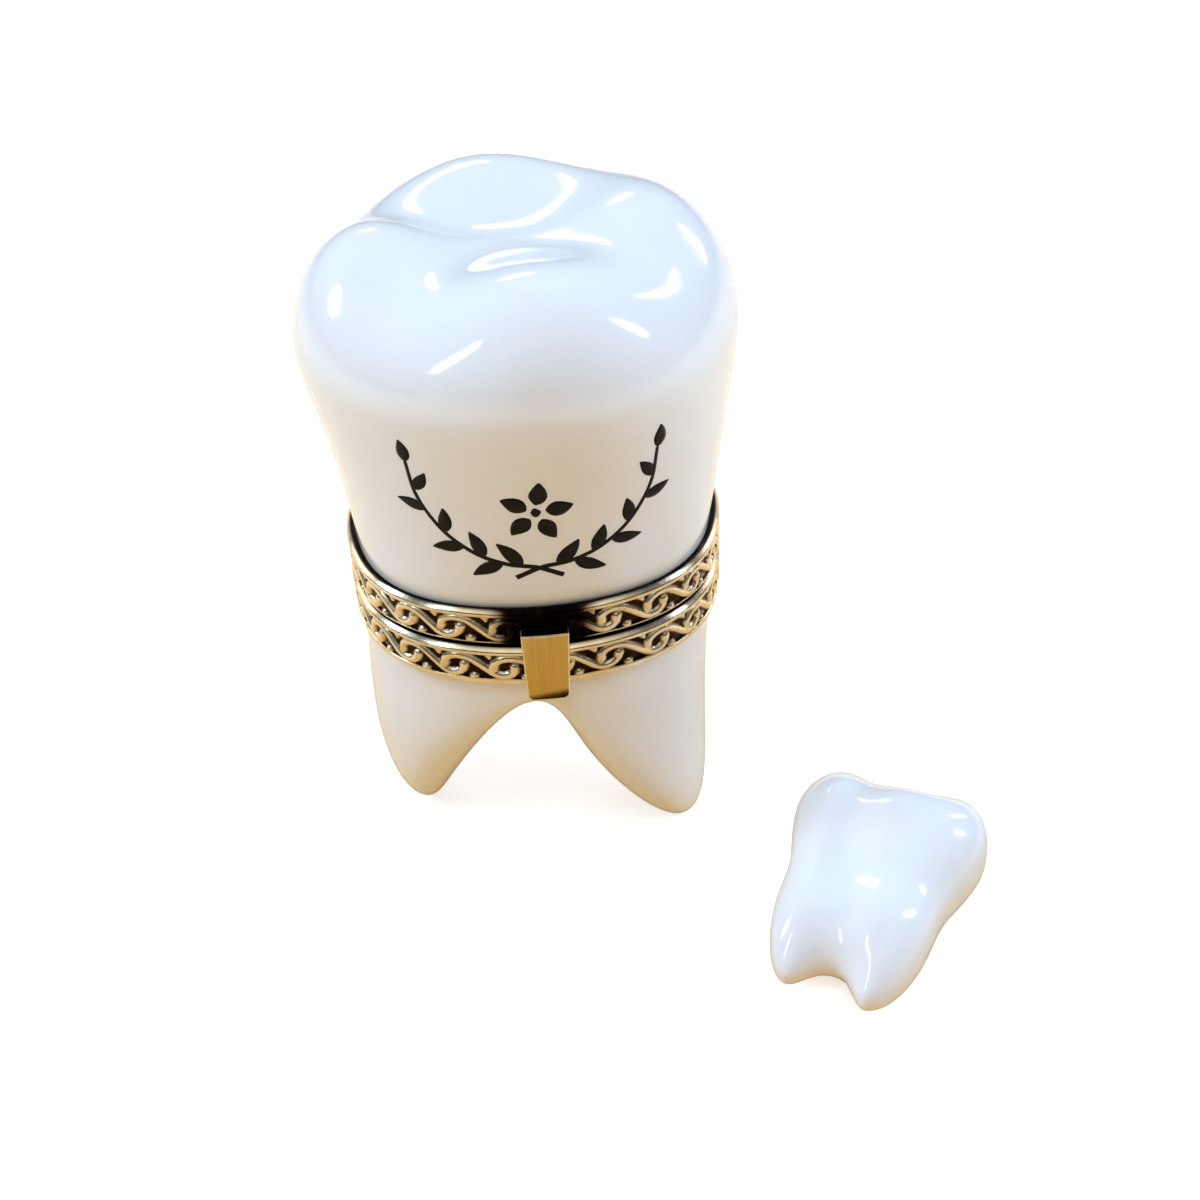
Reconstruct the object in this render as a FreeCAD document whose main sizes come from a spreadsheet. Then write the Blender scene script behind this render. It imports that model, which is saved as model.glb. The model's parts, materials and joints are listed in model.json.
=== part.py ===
"""Porcelain keepsake box shaped like a molar, with a hinged crown for its lid and a small loose tooth.

Lengths are in millimetres and angles in degrees. The origin is on the table, on the axis of the collars.
+Z is up, the clasp faces -Y and the hinge is at +Y.
"""
import FreeCAD
import Part
import math
import os

import Sketcher

Vector = FreeCAD.Vector

SIZES = [
    # The collars: two brass bands on one rounded outline, measured on their outermost edge.
    ("collar_half_width", 16.5),
    ("collar_half_depth", 17.0),
    ("corner_offset", 2.9),
    ("side_bulge_depth", 0.6),
    ("split_height", 26.4),
    ("rim_clearance", 0.1),
    ("collar_height", 3.6),
    ("border_inset", 0.1),
    ("gallery_inset", 0.2),
    ("field_inset", 0.4),
    ("collar_wall", 0.55),
    ("rim_height", 0.7),
    ("rim_thickness", 0.5),
    ("rim_bevel", 0.2),
    ("border_height", 0.45),
    ("flange_thickness", 0.5),
    # The porcelain: two shells whose necks are cemented into the collars.
    ("cement_gap", 0.05),
    ("porcelain_wall", 2.6),
    ("neck_step_depth", 0.15),
    ("neck_lap", 0.6),
    ("shell_gap", 0.1),
    ("crown_swell_width", 2.1),
    ("crown_wide_height", 47.0),
    ("crown_power", 2.45),
    ("crown_waist_shift", 0.3),
    ("crown_top_shift", 0.65),
    ("fossa_lift", 8.2),
    ("cusp_groove_depth", 1.3),
    ("cusp_right_turn", 8.0),
    ("cusp_right_lift", 13.7),
    ("groove_right_turn", 54.0),
    ("groove_right_lift", 12.4),
    ("cusp_back_turn", 98.0),
    ("cusp_back_lift", 13.5),
    ("groove_left_turn", 155.0),
    ("groove_left_lift", 11.0),
    ("cusp_left_turn", 190.0),
    ("cusp_left_lift", 13.4),
    ("groove_front_left_turn", 233.0),
    ("groove_front_left_lift", 9.9),
    ("cusp_front_turn", 279.0),
    ("cusp_front_lift", 12.2),
    ("groove_front_right_turn", 324.0),
    ("groove_front_right_lift", 10.7),
    ("lid_roof", 3.4),
    ("root_power", 5.0),
    ("root_drop", 26.6),
    ("arch_drop", 3.9),
    ("furcation_drop", 6.1),
    ("root_right_turn", -35.0),
    ("arch_right_turn", 24.0),
    ("root_back_turn", 80.0),
    ("arch_left_turn", 136.0),
    ("root_left_turn", 184),
    ("arch_front_turn", 267.5),
    ("root_lean_x", 1.9),
    ("root_lean_y", 1.4),
    ("root_sway_width", 1.4),
    ("root_splay_width", 1.1),
    ("root_hollow_drop", 8.5),
    # The hinge: five knuckles on one pin behind the collars.
    ("knuckle_radius", 1.1),
    ("knuckle_gap", 0.1),
    ("knuckle_length", 1.9),
    ("hinge_clearance", 0.06),
    ("pin_radius", 0.45),
    ("pin_running_clearance", 0.05),
    ("pin_overhang", 0.3),
    ("leaf_thickness", 0.5),
    # The clasp: a tongue on the lid collar that hangs over a bead on the base collar.
    ("tongue_width", 4.0),
    ("tongue_tip_width", 3.5),
    ("tongue_rise", 1.8),
    ("tongue_hang", 4.7),
    ("tongue_thickness", 0.75),
    ("tongue_clearance", 0.2),
    ("tongue_corner", 0.6),
    ("bead_radius", 0.6),
    ("bead_inset", 0.3),
    ("bead_drop", 2.0),
    ("bead_clearance", 0.2),
    # The loose tooth, lying on its broad side.
    ("tooth_half_width", 8.5),
    ("tooth_half_thickness", 5.2),
    ("tooth_neck_half_width", 6.8),
    ("tooth_neck_half_thickness", 4.3),
    ("tooth_power", 2.6),
    ("tooth_end_power", 2.5),
    ("tooth_root_power", 2.5),
    ("tooth_root_swell", 0.5),
    ("tooth_wide_height", 15.8),
    ("tooth_neck_height", 9.2),
    ("tooth_cusp_lift", 7.0),
    ("tooth_fossa_lift", 4.4),
    ("tooth_root_drop", 11.3),
    ("tooth_fork_drop", 7.6),
    ("tooth_groove_depth", 0.9),
    ("tooth_groove_width", 1.9),
    ("tooth_groove_lean", 2.4),
    ("tooth_place_x", 20.55),
    ("tooth_place_y", -35.1),
    ("tooth_turn", -30.0),
    ("tooth_tilt", 9.0),
    # One allowance for cuts that run out past what they cut.
    ("overrun", 1.0),
]

# Heights up the side of a shell, and angles over its domed end, at which its skin is drawn.
SIDE_SHARES = (0.0, 0.35, 0.7, 1.0)
DOME_SHARES = (0.06, 0.18, 0.34, 0.5, 0.64, 0.76, 0.88, 0.96)
# How far out from the axis the cusps and the root tips stand, and how wide the level middle of an end is.
CUSP_REACH_SHARE = 0.74
FOSSA_REACH_SHARE = 0.12
FORK_REACH_SHARE = 0.1
ROOT_REACH_SHARE = 0.89
# How slim the roots are: below 1 they are broad, and the arches between them are pointed.
ROOT_SLIMNESS_SHARE = 0.72
TOOTH_REACH_SHARE = 0.7
TOOTH_TIP_REACH_SHARE = 0.55
# How late the crown flares from its neck, and how much of the cusps shows on the inside of the lid.
FLARE_POWER_SHARE = 1.2
INNER_RELIEF_SHARE = 0.4
# How much longer than the mean one root of the loose tooth is.
ROOT_DIFFERENCE_SHARE = 0.04
POINTS_AROUND = 24

doc = FreeCAD.newDocument("tooth_box")
sheet = doc.addObject("Spreadsheet::Sheet", "sizes")
for row, (alias, value) in enumerate(SIZES, start=1):
    sheet.set(f"A{row}", alias)
    sheet.set(f"B{row}", str(value))
    sheet.setAlias(f"B{row}", alias)
doc.recompute()


def size(alias):
    return float(sheet.get(alias))


# Expressions for the heights that several pieces share.
LID_BOTTOM = "(sizes.split_height + sizes.rim_clearance)"
LID_TOP = f"({LID_BOTTOM} + sizes.collar_height)"
BASE_TOP = "(sizes.split_height - sizes.rim_clearance)"
BASE_BOTTOM = f"({BASE_TOP} - sizes.collar_height)"
HINGE_Y = "(sizes.collar_half_depth + sizes.hinge_clearance + sizes.knuckle_radius)"
KNUCKLE_PITCH = "(sizes.knuckle_length + sizes.knuckle_gap)"

lid_bottom = size("split_height") + size("rim_clearance")
lid_top = lid_bottom + size("collar_height")
base_top = size("split_height") - size("rim_clearance")
base_bottom = base_top - size("collar_height")
collar_inner_inset = size("field_inset") + size("collar_wall")
neck_inset = collar_inner_inset + size("cement_gap")
bore_inset = neck_inset + size("porcelain_wall")
# The glazed shells start clear of the collar's wall and a little wider than the necks.
crown_foot_height = lid_top - size("rim_height") + size("border_height") + size("shell_gap")
root_head_height = base_bottom - size("shell_gap")
shell_inset = neck_inset - size("neck_step_depth")


def outline_arcs():
    """Centres and radii of the arcs in one quarter of the collars' outline: side, corner, front.

    The corner is as round as the narrower way across allows, and the sides bulge a little between corners.
    """
    reach = min(size("collar_half_width"), size("collar_half_depth")) - size("corner_offset")
    radius = reach - size("side_bulge_depth")
    corner = Vector(size("collar_half_width") - reach, size("collar_half_depth") - reach, 0)
    side_radius = (reach ** 2 + corner.y ** 2 - radius ** 2) / (2 * (reach - radius))
    front_radius = (reach ** 2 + corner.x ** 2 - radius ** 2) / (2 * (reach - radius))
    side = Vector(size("collar_half_width") - side_radius, 0, 0)
    front = Vector(0, size("collar_half_depth") - front_radius, 0)
    return (side, side_radius), (corner, radius), (front, front_radius)


def outline_joints(inset):
    """Where the arcs of one quarter begin and end, on the outline drawn in by the inset."""
    (side, side_radius), (corner, radius), (front, front_radius) = outline_arcs()
    to_side = (corner - side).normalize()
    to_front = (corner - front).normalize()
    return (Vector(size("collar_half_width") - inset, 0, 0), corner + to_side * (radius - inset),
            corner + (to_side + to_front).normalize() * (radius - inset),
            corner + to_front * (radius - inset), Vector(0, size("collar_half_depth") - inset, 0))


def collar_radius(theta, inset):
    """Distance from the axis to the collars' outline, drawn in by the inset, at one bearing."""
    joints = outline_joints(inset)
    toward = Vector(abs(math.cos(theta)), abs(math.sin(theta)), 0)
    bearing = math.atan2(toward.y, toward.x)
    if bearing < math.atan2(joints[1].y, joints[1].x):
        centre, radius = outline_arcs()[0]
    elif bearing < math.atan2(joints[3].y, joints[3].x):
        centre, radius = outline_arcs()[1]
    else:
        centre, radius = outline_arcs()[2]
    along = toward.dot(centre)
    return along + math.sqrt(along ** 2 - centre.dot(centre) + (radius - inset) ** 2)


def bearings():
    return [2 * math.pi * k / POINTS_AROUND for k in range(POINTS_AROUND)]


def polar(theta, radius, height):
    return Vector(radius * math.cos(theta), radius * math.sin(theta), height)


def outline_wire(inset):
    """The collars' outline, drawn in by the inset, as eight tangent arcs."""
    side, from_side, corner, to_front, front = outline_joints(inset)

    def turned(point, across, along):
        return Vector(across * point.x, along * point.y, 0)

    arcs = []
    for sign in (1, -1):
        arcs.append(Part.Arc(turned(from_side, sign, -1), turned(side, sign, 1), turned(from_side, sign, 1)))
        arcs.append(Part.Arc(turned(to_front, -1, sign), turned(front, 1, sign), turned(to_front, 1, sign)))
        for other in (1, -1):
            arcs.append(Part.Arc(turned(from_side, sign, other), turned(corner, sign, other),
                                 turned(to_front, sign, other)))
    return Part.Wire(Part.__sortEdges__([arc.toShape() for arc in arcs]))


def add_prism(name, outer_inset, inner_inset, bottom, height):
    """A straight band on the collars' outline, or a full slab where there is no inner inset."""
    wires = [outline_wire(outer_inset)]
    if inner_inset is not None:
        wires.append(outline_wire(inner_inset))
    section = doc.addObject("Part::Feature", name + "_section")
    section.Shape = Part.makeFace(wires, "Part::FaceMakerBullseye")
    section.setExpression("Placement.Base.z", bottom)
    prism = doc.addObject("Part::Extrusion", name)
    prism.Base = section
    prism.DirMode = "Custom"
    prism.Dir = Vector(0, 0, 1)
    prism.setExpression("LengthFwd", height)
    return prism


def add_outline(name, inset, height):
    outline = doc.addObject("Part::Feature", name)
    outline.Shape = outline_wire(inset)
    outline.setExpression("Placement.Base.z", height)
    return outline


def add_bevelled_band(name, bottom):
    """The upper rim of a collar, whose outer edge slopes in over its whole height above the bevel's foot."""
    loft = doc.addObject("Part::Loft", name + "_slope")
    loft.Sections = [add_outline(name + "_foot", 0, f"{bottom} + sizes.rim_height - sizes.rim_bevel"),
                     add_outline(name + "_edge", size("rim_bevel"), f"{bottom} + sizes.rim_height")]
    loft.Solid = True
    loft.Ruled = True
    foot = add_prism(name + "_upright", 0, None, bottom, "sizes.rim_height - sizes.rim_bevel")
    mouth = add_prism(name + "_mouth", size("rim_thickness"), None, f"{bottom} - sizes.overrun",
                      "sizes.rim_height + 2 * sizes.overrun")
    return add_cut(name, add_fuse(name + "_block", [foot, loft]), mouth)


def add_fuse(name, pieces):
    fuse = doc.addObject("Part::MultiFuse", name)
    fuse.Shapes = pieces
    return fuse


def add_cut(name, base, tool):
    cut = doc.addObject("Part::Cut", name)
    cut.Base = base
    cut.Tool = tool
    return cut


def add_shape(name, shape):
    feature = doc.addObject("Part::Feature", name)
    feature.Shape = shape
    return feature


def through_points(row):
    """Control points of the smooth closed curve that runs through the points of a row."""
    poles = list(row)
    for _ in range(50):
        poles = [(row[k] * 6 - poles[k - 1] - poles[(k + 1) % len(row)]) / 4 for k in range(len(row))]
    return poles


def skin_solid(rows):
    """Solid under one smooth skin. Each row of points runs once round the axis, and shapes the skin.

    An end row that is drawn together to a point closes the skin, and any other end row gets a flat face.
    """
    degree = 3
    smooth_rows = [through_points(row) for row in rows]
    poles = [[row[k] for row in smooth_rows] for k in range(POINTS_AROUND)]
    spans = len(rows) - degree
    along_knots = [k / spans for k in range(spans + 1)]
    along_counts = [degree + 1] + [1] * (spans - 1) + [degree + 1]
    around_knots = [k / len(poles) for k in range(len(poles) + 1)]
    around_counts = [1] * len(around_knots)
    surface = Part.BSplineSurface()
    surface.buildFromPolesMultsKnots(
        poles, around_counts, along_counts, around_knots, along_knots, True, False, degree, degree)
    side = surface.toShape()
    faces = [side]
    for row in (rows[0], rows[-1]):
        if row[0] == row[1]:
            continue
        level = [edge for edge in side.Edges
                 if edge.BoundBox.ZLength < size("cement_gap")
                 and abs(edge.BoundBox.Center.z - row[0].z) < size("cement_gap")]
        faces.append(Part.Face(Part.Wire(level)))
    shell = Part.Shell(faces)
    if len(faces) > 1:
        shell.sewShape()
    solid = Part.Solid(shell)
    if solid.Volume < 0:
        solid.reverse()
    return solid


def smooth_step(share):
    share = min(max(share, 0.0), 1.0)
    return share * share * (3 - 2 * share)


def dish_step(reach, level_share, edge_share):
    """0 over a level dish in the middle, rising smoothly to 1 at its edge."""
    return smooth_step((reach - level_share) / (edge_share - level_share))


def dome_shape(share, power):
    """Reach and rise, each from 0 to 1, of a rounded shoulder at a share of the way over it."""
    angle = share * math.pi / 2
    return math.cos(angle) ** (2 / power), math.sin(angle) ** (2 / power)


# Ridges and hollows by turns, each with its own bearing.
CROWN_FORMS = ("cusp_right", "groove_right", "cusp_back", "groove_left", "cusp_left", "groove_front_left",
               "cusp_front", "groove_front_right")
ROOT_FORMS = ("root_right", "arch_right", "root_back", "arch_left", "root_left", "arch_front")


def neighbours(theta, names):
    """The forms before and after a bearing, by number, and how far it is from the one to the other."""
    turns = [size(name + "_turn") for name in names]
    turns.append(turns[0] + 360)
    bearing = (math.degrees(theta) - turns[0]) % 360 + turns[0]
    last = max(k for k in range(len(names)) if turns[k] <= bearing)
    share = (bearing - turns[last]) / (turns[last + 1] - turns[last])
    return last, (last + 1) % len(names), smooth_step(share)


def ridge_weight(theta, names):
    """1 on a ridge and 0 in a hollow."""
    last, following, share = neighbours(theta, names)
    return 1 - share if last % 2 == 0 else share


def cusp_weight(theta):
    return ridge_weight(theta, CROWN_FORMS)


def root_weight(theta):
    return ridge_weight(theta, ROOT_FORMS) ** ROOT_SLIMNESS_SHARE


def cusp_line(theta):
    """Height of the line through the cusps and the grooves, above the widest line of the crown."""
    last, following, share = neighbours(theta, CROWN_FORMS)
    start = size(CROWN_FORMS[last] + "_lift")
    return start + share * (size(CROWN_FORMS[following] + "_lift") - start)


def crown_rows(inset, roof, relief):
    """Rows from the foot of the crown, over its widest line and its cusps, to the hollow in the middle."""
    rows = []
    wide_height = size("crown_wide_height")

    def widest(theta):
        out = collar_radius(theta, inset - size("crown_swell_width"))
        return out - relief * size("cusp_groove_depth") * (1 - cusp_weight(theta))

    for share in SIDE_SHARES:
        flare = share ** FLARE_POWER_SHARE
        aside = Vector(size("crown_waist_shift") * 4 * share * (1 - share), 0, 0)
        row = []
        for theta in bearings():
            foot = collar_radius(theta, shell_inset + inset)
            row.append(aside + polar(theta, foot + (widest(theta) - foot) * flare,
                                     crown_foot_height + (wide_height - crown_foot_height) * share))
        rows.append(row)
    for share in DOME_SHARES + (1.0,):
        reach, rise = dome_shape(share, size("crown_power"))
        aside = Vector(-size("crown_top_shift") * rise, 0, 0)
        climb = dish_step(reach, FOSSA_REACH_SHARE, CUSP_REACH_SHARE)
        row = []
        for theta in bearings():
            lift = size("fossa_lift") + relief * (cusp_line(theta) - size("fossa_lift")) * climb - roof
            radius = 0 if share == 1.0 else widest(theta) * reach
            row.append(aside + polar(theta, radius, wide_height + lift * rise))
        rows.append(row)
    return rows


def root_rows(inset, root_drop, arch_drop, furcation_drop):
    """Rows from the head of the base, down over the root tips, to the fork in the middle underneath."""
    rows = []
    for share in (0.0,) + DOME_SHARES + (1.0,):
        reach, fall = dome_shape(share, size("root_power"))
        row = []
        for theta in bearings():
            edge = arch_drop + root_weight(theta) * (root_drop - arch_drop)
            out = dish_step(reach, FORK_REACH_SHARE, ROOT_REACH_SHARE)
            drop = furcation_drop + (edge - furcation_drop) * out
            down = drop * fall / size("root_drop")
            splay = size("root_splay_width") * down ** 2
            radius = 0 if share == 1.0 else (collar_radius(theta, shell_inset + inset) + splay) * reach
            sway = size("root_sway_width") * 4 * down * (1 - down)
            row.append(polar(theta, radius, root_head_height - drop * fall)
                       + Vector(size("root_lean_x") * down - sway, size("root_lean_y") * down, 0))
        rows.append(row)
    return rows


def straight_row(inset, height):
    return [polar(theta, collar_radius(theta, inset), height) for theta in bearings()]


# The collars: each has a wall, an upper rim, a lower border and a flange that covers the porcelain's edge.
flange_inner_inset = bore_inset - size("cement_gap")
collars = {}
galleries = {}
for side, bottom in (("lid", LID_BOTTOM), ("base", BASE_BOTTOM)):
    rim_bottom = f"{bottom} + sizes.collar_height - sizes.rim_height"
    flange_bottom = bottom if side == "lid" else f"{BASE_TOP} - sizes.flange_thickness"
    wall = add_prism(side + "_collar_wall", size("field_inset"), collar_inner_inset, bottom,
                     "sizes.collar_height - sizes.rim_height + sizes.border_height"
                     if side == "lid" else "sizes.collar_height")
    rim = add_bevelled_band(side + "_collar_rim", rim_bottom)
    border = add_prism(side + "_collar_border", size("border_inset"), size("rim_thickness"), bottom,
                       "sizes.border_height")
    flange = add_prism(side + "_collar_flange", size("rim_thickness"), flange_inner_inset, flange_bottom,
                       "sizes.flange_thickness")
    collars[side] = add_fuse(side + "_collar", [wall, rim, border, flange])
    galleries[side] = add_prism(
        side + "_gallery", size("gallery_inset"), size("field_inset"),
        f"{bottom} + sizes.border_height",
        "sizes.collar_height - sizes.border_height - sizes.rim_height")

# The crown: skin and neck in one, hollowed through the mouth of its collar.
crown_skin = add_shape("crown_skin", skin_solid(crown_rows(0, 0, 1.0)))
crown_neck = add_prism("crown_neck", neck_inset, None, f"{LID_BOTTOM} + sizes.flange_thickness",
                       "sizes.collar_height - sizes.flange_thickness - sizes.rim_height"
                       " + sizes.border_height + sizes.shell_gap + sizes.neck_lap")
crown_mouth = [straight_row(bore_inset, lid_bottom - size("overrun")),
               straight_row(bore_inset, lid_bottom)]
crown_hollow = add_shape("crown_hollow", skin_solid(crown_mouth + crown_rows(
    size("porcelain_wall") + size("neck_step_depth"), size("lid_roof"), INNER_RELIEF_SHARE)))
crown_lid = add_cut("crown_lid", add_fuse("crown_block", [crown_skin, crown_neck]), crown_hollow)

# The base: skin and neck in one, hollowed from above, with the root tips cut flat on the table.
root_skin = add_shape("root_skin", skin_solid(root_rows(
    0, size("root_drop"), size("arch_drop"), size("furcation_drop"))))
root_neck = add_prism("root_neck", neck_inset, None, f"{BASE_BOTTOM} - sizes.shell_gap - sizes.neck_lap",
                      "sizes.collar_height - sizes.flange_thickness + sizes.shell_gap + sizes.neck_lap")
root_mouth = [straight_row(bore_inset, base_top + size("overrun")),
              straight_row(bore_inset, base_top)]
root_hollow = add_shape("root_hollow", skin_solid(root_mouth + root_rows(
    size("porcelain_wall") + size("neck_step_depth"), size("root_hollow_drop"),
    size("arch_drop") - size("porcelain_wall"), size("furcation_drop") - size("porcelain_wall"))))
table_cut = doc.addObject("Part::Box", "table_cut")
table_cut.setExpression("Length", "2 * sizes.collar_half_width + 2 * sizes.overrun")
table_cut.setExpression("Width", "2 * sizes.collar_half_depth + 2 * sizes.overrun")
table_cut.setExpression("Height", "sizes.root_drop")
table_cut.setExpression("Placement.Base.x", "-sizes.collar_half_width - sizes.overrun")
table_cut.setExpression("Placement.Base.y", "-sizes.collar_half_depth - sizes.overrun")
table_cut.setExpression("Placement.Base.z", "-sizes.root_drop")
root_shell = add_cut("root_shell", add_fuse("root_block", [root_skin, root_neck]), root_hollow)
root_base = add_cut("root_base", root_shell, table_cut)


def add_rod(name, radius, length, middle_x):
    """A round bar along the hinge's axis."""
    rod = doc.addObject("Part::Cylinder", name)
    rod.setExpression("Radius", radius)
    rod.setExpression("Height", length)
    rod.Placement.Rotation = FreeCAD.Rotation(Vector(0, 1, 0), 90)
    rod.setExpression("Placement.Base.x", f"{middle_x} - ({length}) / 2")
    rod.setExpression("Placement.Base.y", HINGE_Y)
    rod.setExpression("Placement.Base.z", "sizes.split_height")
    return rod


def add_block(name, length, width, height, low_x, low_y, low_z):
    block = doc.addObject("Part::Box", name)
    block.setExpression("Length", length)
    block.setExpression("Width", width)
    block.setExpression("Height", height)
    block.setExpression("Placement.Base.x", low_x)
    block.setExpression("Placement.Base.y", low_y)
    block.setExpression("Placement.Base.z", low_z)
    return block


# The hinge: the base carries the outer and middle knuckles, and the lid carries the two between them.
HINGE_LENGTH = "(5 * sizes.knuckle_length + 4 * sizes.knuckle_gap)"
leaves = {}
for side, places in (("lid", (-1, 1)), ("base", (-2, 0, 2))):
    up = 1 if side == "lid" else -1
    collar_edge = LID_BOTTOM if side == "lid" else BASE_TOP
    leaf_near = f"(sizes.split_height + {up} * (sizes.knuckle_radius + sizes.hinge_clearance))"
    collar_bottom, collar_top = (LID_BOTTOM, LID_TOP) if side == "lid" else (BASE_BOTTOM, BASE_TOP)
    field_low = f"({collar_bottom} + sizes.border_height)"
    field_high = f"({collar_top} - sizes.rim_height)"
    plate_low = leaf_near if side == "lid" else field_low
    plate_high = field_high if side == "lid" else leaf_near
    plate = add_block(side + "_leaf_plate", HINGE_LENGTH, "sizes.leaf_thickness + sizes.overrun",
                      f"{plate_high} - {plate_low}", f"-{HINGE_LENGTH} / 2",
                      "sizes.collar_half_depth - sizes.overrun", plate_low)
    parts = [plate]
    for place in places:
        middle = f"{place} * {KNUCKLE_PITCH}"
        parts.append(add_rod(f"{side}_knuckle_{place + 3}", "sizes.knuckle_radius", "sizes.knuckle_length",
                             middle))
        web_height = ("(sizes.knuckle_radius + sizes.hinge_clearance + sizes.leaf_thickness"
                      " - sizes.rim_clearance)")
        web_low = collar_edge if side == "lid" else f"{collar_edge} - {web_height}"
        parts.append(add_block(f"{side}_web_{place + 3}", "sizes.knuckle_length",
                               "sizes.knuckle_radius", web_height,
                               f"{middle} - sizes.knuckle_length / 2",
                               f"{HINGE_Y} - sizes.knuckle_radius", web_low))
    bore_radius = "sizes.pin_radius + sizes.pin_running_clearance" if side == "lid" else "sizes.pin_radius"
    bore = add_rod(side + "_knuckle_bore", bore_radius, f"{HINGE_LENGTH} + 2 * sizes.overrun", "0")
    seat = add_prism(side + "_leaf_seat", size("gallery_inset"), None, field_low,
                     f"{field_high} - {field_low}")
    seated = add_cut(side + "_leaf_seated", add_fuse(side + "_leaf_block", parts), seat)
    leaves[side] = add_cut(side + "_hinge_leaf", seated, bore)

pin_blank = add_rod("pin_blank", "sizes.pin_radius", f"{HINGE_LENGTH} + 2 * sizes.pin_overhang", "0")

# The clasp: a plate on the lid collar's front, bent to the collars' outline, with round lower corners.
tongue_body = doc.addObject("PartDesign::Body", "tongue_plate")
front_plane = [plane for plane in tongue_body.Origin.OriginFeatures if plane.Role == "XZ_Plane"][0]
sketch = tongue_body.newObject("Sketcher::SketchObject", "tongue_front")
sketch.AttachmentSupport = [(front_plane, "")]
sketch.MapMode = "FlatFace"
half = size("tongue_width") / 2
tip_half = size("tongue_tip_width") / 2
low = size("split_height") - size("tongue_hang")
high = size("split_height") + size("tongue_rise")
corners = [Vector(-tip_half, low, 0), Vector(tip_half, low, 0), Vector(half, high, 0), Vector(-half, high, 0)]
for start, end in zip(corners, corners[1:] + corners[:1]):
    sketch.addGeometry(Part.LineSegment(start, end))
for line in range(4):
    sketch.addConstraint(Sketcher.Constraint("Coincident", line, 2, (line + 1) % 4, 1))
for line in (0, 2):
    sketch.addConstraint(Sketcher.Constraint("Horizontal", line))
tip_rule = sketch.addConstraint(Sketcher.Constraint("DistanceX", 0, 1, 0, 2, 2 * tip_half))
tip_left_rule = sketch.addConstraint(Sketcher.Constraint("DistanceX", 0, 1, -1, 1, tip_half))
width_rule = sketch.addConstraint(Sketcher.Constraint("DistanceX", 2, 2, 2, 1, 2 * half))
left_rule = sketch.addConstraint(Sketcher.Constraint("DistanceX", 2, 2, -1, 1, half))
height_rule = sketch.addConstraint(Sketcher.Constraint("DistanceY", 1, 1, 1, 2, high - low))
low_rule = sketch.addConstraint(Sketcher.Constraint("DistanceY", -1, 1, 0, 1, low))
sketch.setExpression(f"Constraints[{tip_rule}]", "sizes.tongue_tip_width")
sketch.setExpression(f"Constraints[{tip_left_rule}]", "sizes.tongue_tip_width / 2")
sketch.setExpression(f"Constraints[{width_rule}]", "sizes.tongue_width")
sketch.setExpression(f"Constraints[{left_rule}]", "sizes.tongue_width / 2")
sketch.setExpression(f"Constraints[{height_rule}]", "sizes.tongue_hang + sizes.tongue_rise")
sketch.setExpression(f"Constraints[{low_rule}]", "sizes.split_height - sizes.tongue_hang")
pad = tongue_body.newObject("PartDesign::Pad", "tongue_pad")
pad.Profile = sketch
pad.setExpression("Length", "sizes.collar_half_depth + sizes.tongue_clearance + sizes.tongue_thickness"
                            " + sizes.overrun")
doc.recompute()
lower_edges = []
for number, edge in enumerate(pad.Shape.Edges, start=1):
    along_y = edge.BoundBox.YLength > size("collar_half_depth")
    if along_y and edge.BoundBox.Center.z < size("split_height"):
        lower_edges.append(f"Edge{number}")
fillet = tongue_body.newObject("PartDesign::Fillet", "tongue_corners")
fillet.Base = (pad, lower_edges)
fillet.setExpression("Radius", "sizes.tongue_corner")
tongue_body.Tip = fillet

tongue_outer_inset = -size("tongue_clearance") - size("tongue_thickness")
tongue_low = add_prism("tongue_low", tongue_outer_inset, -size("tongue_clearance"),
                       "sizes.split_height - sizes.tongue_hang - sizes.overrun",
                       "sizes.tongue_hang + sizes.overrun")
tongue_high = add_prism("tongue_high", tongue_outer_inset, size("gallery_inset"),
                        "sizes.split_height", "sizes.tongue_rise + sizes.overrun")
tongue_bend = doc.addObject("Part::Common", "tongue_bend")
tongue_bend.Base = tongue_body
tongue_bend.Tool = add_fuse("tongue_band", [tongue_low, tongue_high])
# A shallow groove down the back of the tongue lets the bead in.
bead_groove = add_block(
    "bead_groove", "2 * sizes.bead_radius + 2 * sizes.bead_clearance",
    "sizes.collar_half_depth + sizes.bead_radius - sizes.bead_inset + sizes.bead_clearance",
    "sizes.tongue_hang + sizes.overrun - sizes.bead_drop + sizes.bead_radius + sizes.bead_clearance",
    "-sizes.bead_radius - sizes.bead_clearance",
    "-sizes.collar_half_depth - sizes.bead_radius + sizes.bead_inset - sizes.bead_clearance",
    "sizes.split_height - sizes.tongue_hang - sizes.overrun")
tongue_grooved = add_cut("tongue_grooved", tongue_bend, bead_groove)
tongue_seat = add_prism("tongue_seat", size("border_inset"), None, LID_BOTTOM, "sizes.border_height")
clasp_tongue = add_cut("clasp_tongue", tongue_grooved, tongue_seat)

bead = doc.addObject("Part::Sphere", "bead")
bead.setExpression("Radius", "sizes.bead_radius")
bead.setExpression("Placement.Base.y", "-sizes.collar_half_depth + sizes.bead_inset")
bead.setExpression("Placement.Base.z", "sizes.split_height - sizes.bead_drop")
bead_seat = add_prism("bead_seat", size("gallery_inset"), None, BASE_BOTTOM, "sizes.collar_height")
catch_bead = add_cut("catch_bead", bead, bead_seat)


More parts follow.
